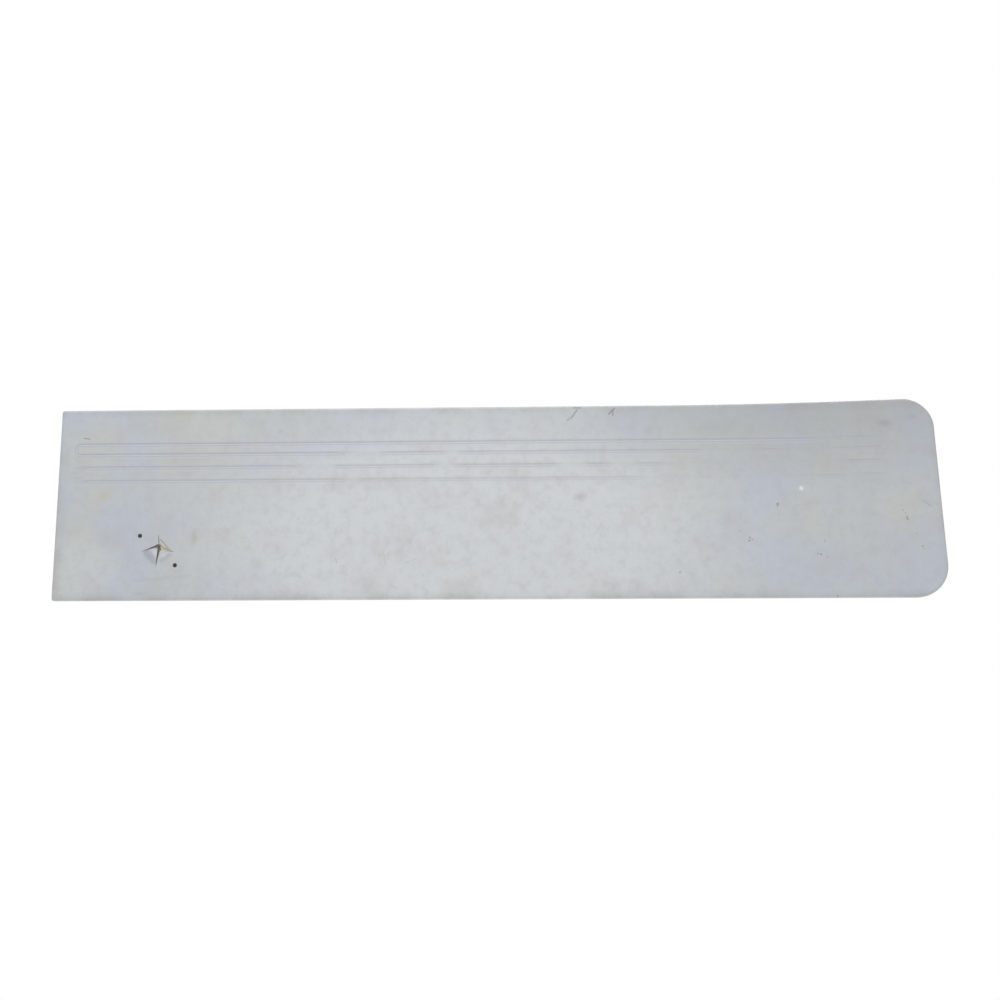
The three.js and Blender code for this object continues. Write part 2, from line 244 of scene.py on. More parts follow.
# %% Places round the crank opening
hole = Vector((left + 105.3 * mm, 0, bottom + 50 * mm))
hole_radius = 12.5 * mm
crossing = hole + Vector((1.85, 0, 5.35)) * mm
tips = {
    "top": hole + Vector((0.55, 0, 16.8)) * mm,
    "left": hole + Vector((-17.6, 0, -1.85)) * mm,
    "bottom": hole + Vector((-1.2, 0, -17.4)) * mm,
    "right": hole + Vector((17.15, 0, -1.65)) * mm,
}
screws = [hole + Vector((-18.35, 0, 14.95)) * mm, hole + Vector((18.35, 0, -14.95)) * mm]
screw_radius = 2.25 * mm


def rim_point(tip):
    """Where the cut towards a tip passes over the rim of the hole."""
    along = (tip - crossing).normalized()
    off = crossing - hole
    half = off.dot(along)
    return crossing + along * (-half + (half * half - off.length_squared + hole_radius**2) ** 0.5)


rims = {name: rim_point(tip) for name, tip in tips.items()}
print("crossing", [round(1000 * c, 2) for c in crossing])

# %% [markdown]
# ## The vinyl cover
# The cover is one sheet wrapped round the board. It could be draped by a simulation, but stretched
# vinyl follows the board closely, so it is a slab with rounded edges, hollowed to a thin wall. The back
# is then opened, which leaves the folded hem. The hem is notched round each round corner and mitred
# at each square one, as an upholsterer does so that it lies flat.

# %% A hollow shell with soft edges
cover = panel_slab("cover_vinyl", 0, front, hem_back)
front_roll, back_roll = 2.4 * mm, 1.5 * mm
for level, roll in ((front, front_roll), (hem_back, back_roll)):
    pick(cover, "EDGE", lambda place: abs(place.y - level) < 0.01 * mm)
    bpy.ops.mesh.bevel(offset=roll, segments=5, affect="EDGES", profile=0.5, clamp_overlap=False)
    done()
recalculate(cover)
for slot_name in ("vinyl", "cloth"):
    cover.data.materials.append(bpy.data.materials.new(slot_name))
apply_modifier(cover, "SOLIDIFY", thickness=vinyl, offset=-1, use_even_offset=True, material_offset=1)
count(cover)

# %% Openings, notches and mitres
past_face = (front - 2 * mm, front + vinyl + mm)
past_hem = (hem_back - vinyl - 0.2 * mm, hem_back + 2 * mm)
punch(cover, [panel_slab("tool_back", hem_width, *past_hem)], face_material=1)
count(cover)
openings = [flat_tool("tool_slit", [(tip.x, tip.z) for tip in tips.values()], *past_face)]
for place in screws:
    openings.append(round_tool("tool_screw", place.x, place.z, screw_radius, *past_face, sides=24))
punch(cover, openings, face_material=1)
count(cover)
notches_per_corner, notch_half_angle, notch_root = 4, 0.16, 2 * mm
notches = []
for kind, z in (("lower", bottom), ("upper", top)):
    radius = corner_radii[kind]
    up = 1 if z > 0 else -1
    centre = Vector((right - radius, 0, z - up * radius))
    for i in range(notches_per_corner):
        angle = up * (i + 0.5) / notches_per_corner * pi / 2
        arms = [(radius - layer_inset - notch_root, 0), (radius - hem_width - 3 * mm, notch_half_angle)]
        arms.append((arms[1][0], -notch_half_angle))
        corners = [
            (centre.x + reach * cos(angle + turn), centre.z + reach * sin(angle + turn))
            for reach, turn in arms
        ]
        notches.append(flat_tool("tool_notch", corners, *past_hem))
for z in (bottom, top):
    up = 1 if z > 0 else -1
    outer = Vector((left, 0, z)) + Vector((1, 0, -up)) * 2.7 * mm
    far = Vector((left, 0, z)) + Vector((1, 0, -up)) * 17 * mm
    across = Vector((up, 0, 1)) * 0.35 * mm
    narrow, wide = across * 0.5, across
    corners = [(p.x, p.z) for p in (outer + narrow, outer - narrow, far - wide, far + wide)]
    notches.append(flat_tool("tool_mitre", corners, *past_hem))
punch(cover, notches, face_material=1)
count(cover)

# %% [markdown]
# ## Embossed lines
# A heated die pressed four lines into the vinyl and the foam. Each has a shallow floor, deepest at
# the foot of its two steep walls, and a slightly raised shoulder beyond them, where the foam
# bulges. The two upper ones close into a long loop with round ends. The die did not press evenly,
# so stretches of the lower lines fade away. The face is first cut by planes where a line's profile
# turns, and then moved by one rule.

# %% The rule for the face's relief
line_left, line_right = left + 17.5 * mm, right - 53 * mm
line_drops = {"top": 37.1, "second": 47.7, "third": 61.0, "fourth": 75.0}
line_levels = {name: top - drop * mm for name, drop in line_drops.items()}
loop_corner = 4 * mm
profile_at = [0, 0.5, 1.3, 1.9, 2.6, 4.4]
profile_depth = [0.15, 0.18, 0.26, 0.03, -0.05, 0]
pressed = {
    # places along the line in millimetres, and how well it was pressed there
    "top": ([-450, 305, 325, 400], [1, 0.95, 0.35, 0.35]),
    "second": (
        [-450, -160, -150, -118, -108, -56, -50, -40, -34, 198, 208, 264, 267, 279, 283, 340, 347, 400],
        [1, 1, 0.3, 0.3, 1, 1, 0.3, 0.3, 0.9, 0.85, 0.15, 0.15, 0.8, 0.8, 0.15, 0.15, 0.6, 0.6],
    ),
    "third": (
        [-450, -206, -196, -168, -160, -64, -58, -44, -38, 60, 68, 86, 94, 112, 118, 135, 142, 165]
        + [178, 350, 354, 387, 390, 400],
        [0.9, 0.9, 0.15, 0.15, 0.9, 0.9, 0.2, 0.2, 0.9, 0.9, 0.2, 0.2, 0.8, 0.8, 0.2, 0.2, 0.7, 0.7]
        + [0.12, 0.12, 0.9, 0.8, 0.1, 0.1],
    ),
    "fourth": (
        [-450, -155, -149, -141, -135, 138, 152, 322, 327, 347, 351, 366, 372, 388, 391, 400],
        [0.9, 0.9, 0.25, 0.25, 0.8, 0.6, 0.15, 0.15, 0.8, 0.7, 0.15, 0.15, 0.5, 0.5, 0.1, 0.1],
    ),
}


def line_distances(x, z):
    """For each line, the distance of each point from it and how deep it is pressed there."""
    low, high = line_levels["second"], line_levels["top"]
    middle, half = (low + high) / 2, (high - low) / 2
    reach = (line_right - line_left) / 2
    qx = np.abs(x - (line_left + line_right) / 2) - reach + loop_corner
    qz = np.abs(z - middle) - half + loop_corner
    outside = np.hypot(np.maximum(qx, 0), np.maximum(qz, 0))
    loop = np.abs(outside + np.minimum(np.maximum(qx, qz), 0) - loop_corner)
    found = []
    for name in ("top", "second"):
        mine = z > middle if name == "top" else z <= middle
        found.append((np.where(mine, loop, 1), np.interp(x / mm, *pressed[name])))
    for name in ("third", "fourth"):
        past = np.maximum(np.maximum(line_left + 3 * mm - x, x - line_right), 0)
        distance = np.hypot(z - line_levels[name], past)
        taper = np.clip((x - line_left - 3 * mm) / (7 * mm), 0, 1)
        strength = np.interp(x / mm, *pressed[name]) * (0.4 + 0.6 * taper)
        found.append((distance + (1 - taper) * 0.7 * mm, strength))
    return found


creases = [
    # from x, z; to x, z; half width; depth, all in millimetres
    (-362, -77, -306, -74, 2.6, 0.35),
    (-160, -58, -143, -54.5, 2.6, 0.2),
    (410, -30, 416, -22, 4, 0.3),
    (-352, -70, -330, -72, 6, 0.25),
    (240, -50, 250, -44, 5, 0.2),
]
slit_dip, slit_dip_radius = 0.55 * mm, 15


def relief(x, z):
    """How far a point of the show face lies behind the flat face."""
    depth = np.zeros_like(x)
    for distance, strength in line_distances(x, z):
        depth += strength * np.interp(distance / mm, profile_at, profile_depth) * mm
    for ax, az, bx, bz, width, deep in creases:
        run = np.array([bx - ax, bz - az])
        along = np.clip(((x / mm - ax) * run[0] + (z / mm - az) * run[1]) / (run @ run), 0, 1)
        away = np.hypot(x / mm - ax - along * run[0], z / mm - az - along * run[1])
        depth += deep * mm * np.exp(-((away / width) ** 2))
    around = np.hypot(x - hole.x, z - hole.z) / mm
    depth += slit_dip * np.exp(-((around / slit_dip_radius) ** 2))
    edge = np.minimum(right - np.abs(x), top - np.abs(z)) / mm
    waves = 0.10 * np.sin(x / mm / 23 + 1.3 * np.sin(z / mm / 31))
    waves += 0.09 * np.sin(z / mm / 19 + x / mm / 57)
    waves += 0.05 * np.sin(x / mm / 9.5 + z / mm / 8)
    depth += waves * mm * np.clip((edge - 2) / 12, 0, 1)
    return depth


# %% [markdown]
# The flared, leaning end is one more rule, used on the cover and the pad alike: the top edge rises by
# 4 mm over its last stretch and the right end leans back. A fold of the hem also bulges a little
# between its notches, and its cut edge wavers as scissors leave it.

# %% The rule for the panel's leaning end
rake, flare_rise, flare_length = 7.9 * mm, 4 * mm, 252 * mm
flare_end = right - rake - corner_radii["upper"] - corner_radii["square"]
line_lift, lift_length = 2.3 * mm, 120 * mm
lean_start = 0.2
lean_length = right - lean_start - 5 * mm


def lean(x, z):
    """The place of each point after the panel's right end is flared and leant back."""
    flare = np.clip((x - flare_end + flare_length) / flare_length, 0, None)
    rise = np.where(flare < 1, flare**2, 2 * flare - 1) * flare_rise
    lift = np.clip((x - line_right + lift_length) / lift_length, 0, 1) ** 2 * line_lift
    near_top = np.clip((z / mm - 62.5) / 5, 0, 1)
    near_lines = np.clip((z / mm + 10) / 28, 0, 1) * (1 - near_top)
    share = np.clip((x - lean_start) / lean_length, 0, 1)
    share = share * share * (3 - 2 * share)
    return x - rake * (z - bottom) / height * share, z + rise * near_top + lift * near_lines


def reshape(piece, rule):
    """Moves every vertex by a rule that takes and gives arrays of x, y and z."""
    places = np.empty(len(piece.data.vertices) * 3)
    piece.data.vertices.foreach_get("co", places)
    x, y, z = places.reshape(-1, 3).T
    moved = np.stack(rule(x, y, z), axis=1)
    piece.data.vertices.foreach_set("co", moved.ravel())
    piece.data.update()


def slice_piece(piece, axis, levels, near=None):
    """Cuts the faces with planes across one axis, either all of them or just those near a place."""
    normal = Vector((axis == "x", axis == "y", axis == "z"))
    only(piece)
    bpy.ops.object.mode_set(mode="EDIT")
    bpy.ops.mesh.select_mode(type="FACE")
    done()
    for level in levels:
        if near is None:
            bpy.ops.object.mode_set(mode="EDIT")
            bpy.ops.mesh.select_all(action="SELECT")
        else:
            pick(piece, "FACE", near)
        bpy.ops.mesh.bisect(plane_co=normal * level, plane_no=normal)
        done()


# %% Cutting the face finely enough
step = 5 * mm
columns = list(np.arange(left + step, right - 0.5 * step, step))
rows = set()
for level in line_levels.values():
    rows |= {round(level / mm + side * off, 2) for off in profile_at for side in (-1, 1)}
rows |= {round(z, 2) for z in np.arange(-92, 16, 6.0)} | {44.2, 69.5, 76.0, 82.5, 89.0, 93.5}
rows = [z * mm for z in sorted(rows)]
slice_piece(cover, "x", columns)
slice_piece(cover, "z", rows)
in_face = lambda place: place.y < front + 2 * vinyl
near_slit = lambda place: (place - hole).length < 26 * mm and in_face(place)
slice_piece(cover, "x", [hole.x + i * 2.5 * mm for i in range(-9, 10)], near_slit)
slice_piece(cover, "z", [hole.z + i * 2.5 * mm for i in range(-9, 10)], near_slit)
loop_z = (line_levels["top"] + line_levels["second"]) / 2
for end, inward in ((line_left, 1), (line_right, -1)):
    near_x, near_z = 11 * mm, 10 * mm

    def beside(place):
        return abs(place.x - end) < near_x and abs(place.z - loop_z) < near_z and in_face(place)

    slice_piece(cover, "x", [end + inward * i * 0.7 * mm for i in range(-4, 9)], beside)
    slice_piece(cover, "z", [loop_z + i * 0.8 * mm for i in range(-7, 8)], beside)
count(cover)

# %% Pressing the lines and leaning the end


def shape_cover(x, y, z):
    face = np.clip((front + 3 * mm - y) / mm, 0, 1)
    edge = np.minimum(right - np.abs(x), top - np.abs(z)) / mm
    depth = relief(x, z) * np.clip((edge - 1) / 2, 0, 1)
    y = y + depth * face
    on_hem = np.clip((y - hem_back + 1.8 * mm) / (0.6 * mm), 0, 1)
    reach_x = np.clip(np.abs(x) - right + 40 * mm, 0, None)
    corner = np.hypot(reach_x, np.clip(np.abs(z) - top + 40 * mm, 0, None))
    pucker = np.clip(corner / mm / 40 - 0.4, 0, 1) * np.clip((edge - 3) / 6, 0, 1)
    y = y + on_hem * pucker * 0.22 * mm * np.sin(x / mm * 0.9 + z / mm * 0.7)
    inner_edge = on_hem * np.clip((edge - 11) / 4, 0, 1)
    waver = inner_edge * 0.6 * mm * np.sin(x / mm / 17 + z / mm / 11 + np.sin(x / mm / 41))
    z = z - np.sign(z) * waver * (np.abs(z) > top - 18 * mm)
    x, z = lean(x, z)
    return x, y, z


reshape(cover, shape_cover)
recalculate(cover)
smooth(cover, 50)
count(cover)

# %% [markdown]
# ## The four flaps
# Each flap is the triangle of vinyl between two cuts. It is a separate piece because it bends on its
# own when the crank goes through. Handling has pushed them in by different amounts, so each is a small
# triangle cut into strips, rolled about the rim of the hole, and given the cover's thickness.

# %% Flaps with their own bend
flap_shapes = {
    # from tip, to tip, degrees pushed in; in millimetres, its own tip's place from the crossing and
    # how far its lip lifts
    "upper_left": ("top", "left", 4, (-1.5, 1.4), 0.4),
    "lower_left": ("left", "bottom", 24, (-2.2, -1.0), 0.0),
    "lower_right": ("bottom", "right", 14, (0.6, -5.2), 0.0),
    "upper_right": ("right", "top", 40, (0.6, 0.2), 0.0),
}


def inward_of(start, end):
    """The direction from one side of the slit's opening towards the crossing."""
    inward = Vector((0, 1, 0)).cross(end - start).normalized()
    return inward if inward.dot(crossing - start) > 0 else -inward


def triangle(name, corners, y):
    """A triangle at one depth, cut into strips."""
    bpy.ops.object.select_all(action="DESELECT")
    bpy.ops.mesh.primitive_circle_add(vertices=3, radius=1, fill_type="NGON")
    piece = named(name)
    for vertex, place in zip(piece.data.vertices, corners):
        vertex.co = (place.x, y, place.z)
    pick(piece, "FACE", lambda place: True)
    bpy.ops.mesh.subdivide(number_cuts=13)
    done()
    return piece


def roll_in(piece, start, end, pushed, lip=0.0):
    """Rolls what lies past the rim's chord into the hole, evenly up to the flap's tip."""
    inward = inward_of(start, end)
    reach = (crossing - start).dot(inward)
    turn = radians(pushed) / reach

    def rule(x, y, z):
        past = np.clip((x - start.x) * inward.x + (z - start.z) * inward.z, 0, None)
        shift = np.sin(turn * past) / turn - past
        sunk = (1 - np.cos(turn * past)) / turn - lip * mm * np.clip(past / reach, 0, 1) ** 2
        return x + shift * inward.x, y + sunk + relief(x, z), z + shift * inward.z

    reshape(piece, rule)


def thicken(piece, thickness, **materials):
    """Turns a sheet's face to the front and gives it a wall behind it."""
    recalculate(piece)
    if sum(face.normal.y for face in piece.data.polygons) > 0:
        pick(piece, "FACE", lambda place: True)
        bpy.ops.mesh.flip_normals()
        done()
    apply_modifier(piece, "SOLIDIFY", thickness=thickness, offset=-1, **materials)
    smooth(piece, 50)
    count(piece)


flaps, foam_flaps = {}, {}
for name, (start, end, pushed, off, lip) in flap_shapes.items():
    apex = crossing + Vector((off[0], 0, off[1])) * mm
    flap = triangle(f"flap_{name}", (tips[start], tips[end], apex), front)
    roll_in(flap, rims[start], rims[end], pushed, lip)
    for slot_name in ("vinyl", "cloth"):
        flap.data.materials.append(bpy.data.materials[slot_name])
    thicken(flap, vinyl, material_offset=1, material_offset_rim=1)
    flaps[name] = flap

# %% [markdown]
# The cut went through the foam as well. A triangle of foam is bonded to the back of each flap, and
# soft foam closes up again, so it shows as a pale line between the flaps, painted dark with shade
# along the lower and left cuts.

# %% Foam behind the flaps
for name, (start, end, pushed, *_) in flap_shapes.items():
    corners = (tips[start], tips[end], crossing + inward_of(rims[start], rims[end]) * 0.8 * mm)
    piece = triangle(f"foam_flap_{name}", corners, front + vinyl + 0.05 * mm)
    roll_in(piece, rims[start], rims[end], pushed * 0.8)
    thicken(piece, 1.9 * mm)
    foam_flaps[name] = piece

# %% [markdown]
# ## The foam pad
# Two millimetres of soft foam lie between the board and the cover. Its face takes the same relief as
# the cover, and it is cut away round the crank opening and over each clip's head. The two screws
# pierced it too, but here the foam is left whole, and a dark spot of painted shade stands for each
# screw hole.

# %% The pad, punched and pressed
clip_numbers = [f"{i:02d}" for i in range(1, 13)]
clip_middles = {}
for number in clip_numbers:
    low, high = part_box(f"clip_seal_{number}")
    clip_middles[number] = (low + high) / 2
pad = panel_slab("pad_foam", layer_inset, pad_low.y, pad_high.y)
pick(pad, "EDGE", lambda place: abs(place.y - pad_low.y) < 0.01 * mm)
bpy.ops.mesh.bevel(offset=1 * mm, segments=3, affect="EDGES", clamp_overlap=False)
done()
recalculate(pad)
through_pad = (pad_low.y - mm, pad_high.y + mm)
tools = [flat_tool("tool_slit", [(tip.x, tip.z) for tip in tips.values()], *through_pad)]
head_reach, head_travel = 6.3 * mm, 3 * mm
keyhole_entry = head_travel + 1.1 * mm + 5.9 * mm
for number, place in clip_middles.items():
    upright = abs(place.x) > right - 40 * mm and abs(place.z) < 30 * mm
    run = Vector((0, 0, 1)) if upright else Vector((1, 0, 0))
    side = Vector((run.z, 0, -run.x))
    corners = []
    for centre, start in ((place + run * keyhole_entry, 0), (place - run * head_travel, pi)):
        for i in range(9):
            angle = start - pi / 2 + pi * i / 8
            spot = centre + (run * cos(angle) - side * sin(angle)) * head_reach
            corners.append((spot.x, spot.z))
    tools.append(flat_tool("tool_head", corners, *through_pad))
punch(pad, tools)
slice_piece(pad, "x", columns[1::2])
slice_piece(pad, "z", rows)


def shape_pad(x, y, z):
    share = np.clip((pad_high.y - y) / (pad_high.y - pad_low.y), 0, 1)
    edge = np.minimum(right - np.abs(x), top - np.abs(z)) / mm
    y = y + relief(x, z) * share * np.clip((edge - 1) / 2, 0, 1)
    inner_x, inner_z = lean(x, z)
    return inner_x, y, inner_z


reshape(pad, shape_pad)
recalculate(pad)
smooth(pad, 50)
count(pad)

# %% [markdown]
# ## Clips, seals and staples
# Twelve nylon clips hold the panel. Each is one moulding: a flat head behind the foam, a neck that
# slides in the board's keyhole, a flange, and a barb split by crossed slots so that it can squeeze
# through the door's hole. It is spun from its profile and slotted, then copied to each place.


# %% Spinning a profile about a clip's axis
def spin(name, profile, middle, steps=32):
    """Turns a profile of (radius, y) points about the Y axis through the middle."""
    bpy.ops.object.select_all(action="DESELECT")
    bpy.ops.mesh.primitive_circle_add(vertices=len(profile), radius=1, fill_type="NOTHING")
    piece = named(name)
    for vertex, (radius, y) in zip(piece.data.vertices, profile):
        vertex.co = (middle.x + radius, y, middle.z)
    if profile[0][0] == 0:
        pick(piece, "EDGE", lambda place: abs(place.x - middle.x) < 0.001 * mm)
        bpy.ops.mesh.delete(type="EDGE")
        done()
    pick(piece, "VERT", lambda place: True)
    bpy.ops.mesh.spin(steps=steps, angle=2 * pi, center=middle, axis=(0, 1, 0))
    done()
    recalculate(piece)
    return piece


def copy_to(piece, name, offset, turn=0.0, about=None):
    """A copy with its own mesh, turned about the Y axis and moved."""
    only(piece)
    bpy.ops.object.duplicate(linked=False)
    made = bpy.context.object
    made.name = made.data.name = name
    about = about or Vector()
    spot = Matrix.Translation(offset) @ Matrix.Translation(about)
    made.data.transform(spot @ Matrix.Rotation(turn, 4, "Y") @ Matrix.Translation(-about))
    return made


# %% One clip and its seal
first = clip_middles["01"]
axis_place = Vector((first.x, 0, first.z))
clip_low, clip_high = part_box("panel_clip_01")
seal_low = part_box("clip_seal_01")[0]
head_front, tip_back = clip_low.y, clip_high.y
head_back = pad_high.y
flange_front, flange_back = board_high.y + 0.3 * mm, seal_low.y - 0.3 * mm
shoulder = tip_back - 8 * mm
clip_profile = [
    # a level along the clip's axis, then radii and steps past that level in millimetres
    (head_front, [(0, 0), (4.7, 0), (5.3, 0.25), (5.5, 0.6)]),
    (head_back, [(5.4, -0.1), (5.2, 0), (2.6, 0), (2.4, 0.3)]),
    (flange_front, [(2.4, -0.3), (2.7, 0), (7.1, 0), (7.4, 0.2), (7.5, 0.6)]),
    (flange_back, [(7.3, 0), (3.0, 0), (2.6, 0.3)]),
    (shoulder, [(2.6, 0), (3.6, 1.0), (4.25, 1.9), (4.3, 2.3), (4.1, 3.0)]),
    (shoulder, [(2.6, 5.6), (1.5, 7.3), (0.9, 7.9), (0, 8.0)]),
]
turned = [(r * mm, (level / mm + past) * mm) for level, points in clip_profile for r, past in points]
clip = spin("clip_01", turned, axis_place)
slots = []
slot_middle = (first.x, shoulder + 3.4 * mm, first.z)
for turn in (0, pi / 2):
    bpy.ops.object.select_all(action="DESELECT")
    bpy.ops.mesh.primitive_cube_add(size=1, location=slot_middle, rotation=(0, turn, 0))
    bpy.context.object.scale = (1.0 * mm, 5.6 * mm, 12 * mm)
    slots.append(named("tool_slot"))
    pick(slots[-1], "EDGE", lambda place: True)
    bpy.ops.mesh.bevel(offset=0.2 * mm, segments=2, affect="EDGES")
    done()
for tool in slots:
    punch(clip, [tool])
recalculate(clip)
smooth(clip, 35)
seal_outside = [(8.1, -2.95), (8.45, -2.6), (8.5, -1.5), (8.45, -0.4), (8.1, -0.05)]
seal_profile = [(3.2, -3.0), *seal_outside, (3.2, 0.0), (3.0, -1.5)]
seal = spin("seal_01", [(r * mm, y * mm) for r, y in seal_profile], axis_place, steps=40)
pick(seal, "FACE", lambda place: abs(place.y - seal_low.y) < 0.1 * mm)
bpy.ops.mesh.inset(thickness=0.9 * mm, depth=0)
bpy.ops.transform.translate(value=(0, 0.12 * mm, 0))
done()
smooth(seal, 35)
count(clip)
count(seal)

# %% The other clips and seals
clips, seals = {"01": clip}, {"01": seal}
for number in clip_numbers[1:]:
    offset = clip_middles[number] - first
    offset.y = 0
    turn = 0.4 * int(number)
    clips[number] = copy_to(clip, f"clip_{number}", offset, turn, axis_place)
    seals[number] = copy_to(seal, f"seal_{number}", offset, turn, axis_place)
print(len(clips), "clips with their seals")

# %% [markdown]
# A staple is a flat wire bent twice, with round bends and points cut on a slant. Twenty-six of them
# go through the hem into the board.

# %% One staple
staple_numbers = [f"{i:02d}" for i in range(1, 27)]
low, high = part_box("staple_01")
staple_middle = (low + high) / 2
wire, wide = 0.6 * mm, 1.2 * mm
bpy.ops.object.select_all(action="DESELECT")
crown_middle = (staple_middle.x, high.y - wire / 2, staple_middle.z)
bpy.ops.mesh.primitive_cube_add(size=1, location=crown_middle)
bpy.context.object.scale = (high.x - low.x, wire, wide)
staple = named("staple_steel_01")
for end in (low.x, high.x):
    inner = end + (wire if end == low.x else -wire)
    slice_piece(staple, "x", [inner])
    leg_x = (end + inner) / 2
    under = high.y - 0.9 * wire
    pick(staple, "FACE", lambda place: abs(place.x - leg_x) < 0.1 * mm and place.y < under)
    leg = low.y - (high.y - wire)
    bpy.ops.mesh.extrude_region_move(TRANSFORM_OT_translate={"value": (0, leg, 0)})
    bpy.ops.transform.resize(value=(0.5, 1, 0.9), center_override=(end, low.y, staple_middle.z))
    done()
recalculate(staple)
tiny = 0.01 * mm


def outer_bend(place):
    """Whether an edge's middle is where the crown turns into a leg."""
    at_end = min(abs(place.x - low.x), abs(place.x - high.x)) < tiny
    return at_end and abs(place.y - high.y) < tiny and abs(place.z - staple_middle.z) < tiny


pick(staple, "EDGE", outer_bend)
bpy.ops.mesh.bevel(offset=0.45 * mm, segments=4, affect="EDGES")
done()
apply_modifier(staple, "BEVEL", width=0.1 * mm, segments=2, limit_method="ANGLE")
smooth(staple, 35)
count(staple)

# %% The other staples
staples = {"01": staple}
staple_axis = Vector((staple_middle.x, 0, staple_middle.z))
for number in staple_numbers[1:]:
    low_n, high_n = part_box(f"staple_{number}")
    offset = (low_n + high_n) / 2 - staple_middle
    upright = high_n.z - low_n.z > high_n.x - low_n.x
    turn = (pi / 2 if upright else 0) + radians(3.0) * sin(2.4 * int(number))
    staples[number] = copy_to(staple, f"staple_steel_{number}", offset, turn, staple_axis)
print(len(staples), "staples")

# %% [markdown]
# ## A class for shader sums
# A material is a graph of nodes. Writing it as arithmetic keeps it readable: the class below wraps one
# socket, and each operator on it adds the Math node that does the sum.


# %% Sockets with arithmetic
class Sock:
    """One output socket of a material, on which arithmetic adds Math nodes."""

    def __init__(self, paint, socket):
        self.paint, self.socket = paint, socket

    def sum(self, operation, *values):
        inputs = dict(enumerate(values))
        return self.paint.node("ShaderNodeMath", {"operation": operation}, inputs)

    def __add__(self, other):
        return self.sum("ADD", self, other)

    def __radd__(self, other):
        return self.sum("ADD", other, self)

    def __sub__(self, other):
        return self.sum("SUBTRACT", self, other)

    def __rsub__(self, other):
        return self.sum("SUBTRACT", other, self)

    def __mul__(self, other):
        return self.sum("MULTIPLY", self, other)

    def __rmul__(self, other):
        return self.sum("MULTIPLY", other, self)

    def __truediv__(self, other):
        return self.sum("DIVIDE", self, other)

    def max(self, other):
        return self.sum("MAXIMUM", self, other)

    def min(self, other):
        return self.sum("MINIMUM", self, other)

    def ramp(self, low, high):
        """0 at low, 1 at high, smooth between."""
        return self.paint.node(
            "ShaderNodeMapRange", {"interpolation_type": "SMOOTHSTEP", "clamp": True},
            {"Value": self, "From Min": low, "From Max": high},
        )


class Paint:
    """A material and the nodes that are added to it."""

    def __init__(self, name, roughness=0.6, **constants):
        self.material = bpy.data.materials.new(name)
        self.material.use_nodes = True
        self.tree = self.material.node_tree
        self.shader = next(n for n in self.tree.nodes if n.type == "BSDF_PRINCIPLED")
        self.shader.inputs["Roughness"].default_value = roughness
        for socket, value in constants.items():
            self.shader.inputs[socket.replace("_", " ")].default_value = value
        self.place = self.node("ShaderNodeTexCoord", output="Object")

    def node(self, kind, settings=None, inputs=None, output=0):
        """Adds a node: its settings first, then the values or links of its sockets."""
        made = self.tree.nodes.new(kind)
        for name, value in (settings or {}).items():
            setattr(made, name, value)
        for socket, value in (inputs or {}).items():
            self.give(made.inputs[socket], value)
        return Sock(self, made.outputs[output])

    def give(self, socket, value):
        if isinstance(value, Sock):
            self.tree.links.new(value.socket, socket)
        else:
            socket.default_value = value

    def set(self, **sockets):
        for name, value in sockets.items():
            self.give(self.shader.inputs[name.replace("_", " ")], value)

    def axes(self):
        split = self.node("ShaderNodeSeparateXYZ", inputs={0: self.place}).socket.node
        return [Sock(self, split.outputs[i]) for i in range(3)]

    def noise(self, scale, detail=3.0, roughness=0.55, stretch=(1, 1, 1), seed=0.0):
        """Noise from 0 to 1 whose patches are about 1/scale metres wide."""
        where = self.node(
            "ShaderNodeVectorMath", {"operation": "MULTIPLY_ADD"},
            {0: self.place, 1: stretch, 2: (seed, seed * 0.7, -seed)},
        )
        inputs = {"Vector": where, "Scale": scale, "Detail": detail, "Roughness": roughness}
        return self.node("ShaderNodeTexNoise", inputs=inputs)

    def attribute(self, name):
        return self.node("ShaderNodeAttribute", {"attribute_name": name}, output="Fac")

    def bands(self, direction, scale, distortion=0.0):
        """Soft stripes across one axis."""
        inputs = {"Vector": self.place, "Scale": scale, "Distortion": distortion}
        return self.node("ShaderNodeTexWave", {"bands_direction": direction}, inputs)

    def mix(self, factor, a, b):
        """A colour between a and b."""
        inputs = {0: factor, 6: self.colour(a), 7: self.colour(b)}
        return self.node("ShaderNodeMix", {"data_type": "RGBA"}, inputs, output=2)

    def colour(self, value):
        return value if isinstance(value, Sock) or len(value) == 4 else (*value, 1)

    def vector(self, operation, a, b=None, **settings):
        """Adds a Vector Math node; one that measures has its answer in the socket named Value."""
        inputs = {0: a} if b is None else {0: a, 1: b}
        inputs.update(settings)
        measures = operation in ("LENGTH", "DOT_PRODUCT", "DISTANCE")
        output = "Value" if measures else 0
        return self.node("ShaderNodeVectorMath", {"operation": operation}, inputs, output)

    def blob(self, x, z, radius_x, radius_z=None):
        """1 at a place of the face, falling to 0 at the radius, in millimetres."""
        away = self.vector("SUBTRACT", self.place, (x * mm, front, z * mm))
        size = 1 / (radius_x * mm), 0, 1 / ((radius_z or radius_x) * mm)
        length = self.vector("LENGTH", self.vector("MULTIPLY", away, size))
        return 1 - length.ramp(0.0, 1.0)

    def scratch(self, ax, az, bx, bz, radius):
        """1 along a short mark between two places of the face, in millimetres."""
        run = Vector(((bx - ax) * mm, 0, (bz - az) * mm))
        away = self.vector("SUBTRACT", self.place, (ax * mm, 0, az * mm))
        away = self.vector("MULTIPLY", away, (1, 0, 1))
        along = (self.vector("DOT_PRODUCT", away, run) / run.length_squared).max(0.0).min(1.0)
        gap = self.vector("DISTANCE", away, self.vector("SCALE", run, Scale=along))
        return 1 - gap.ramp(0.3 * radius * mm, radius * mm)

    def bump(self, height, strength, distance, under=None):
        inputs = {"Strength": strength, "Distance": distance, "Height": height}
        if under is not None:
            inputs["Normal"] = under
        return self.node("ShaderNodeBump", inputs=inputs)
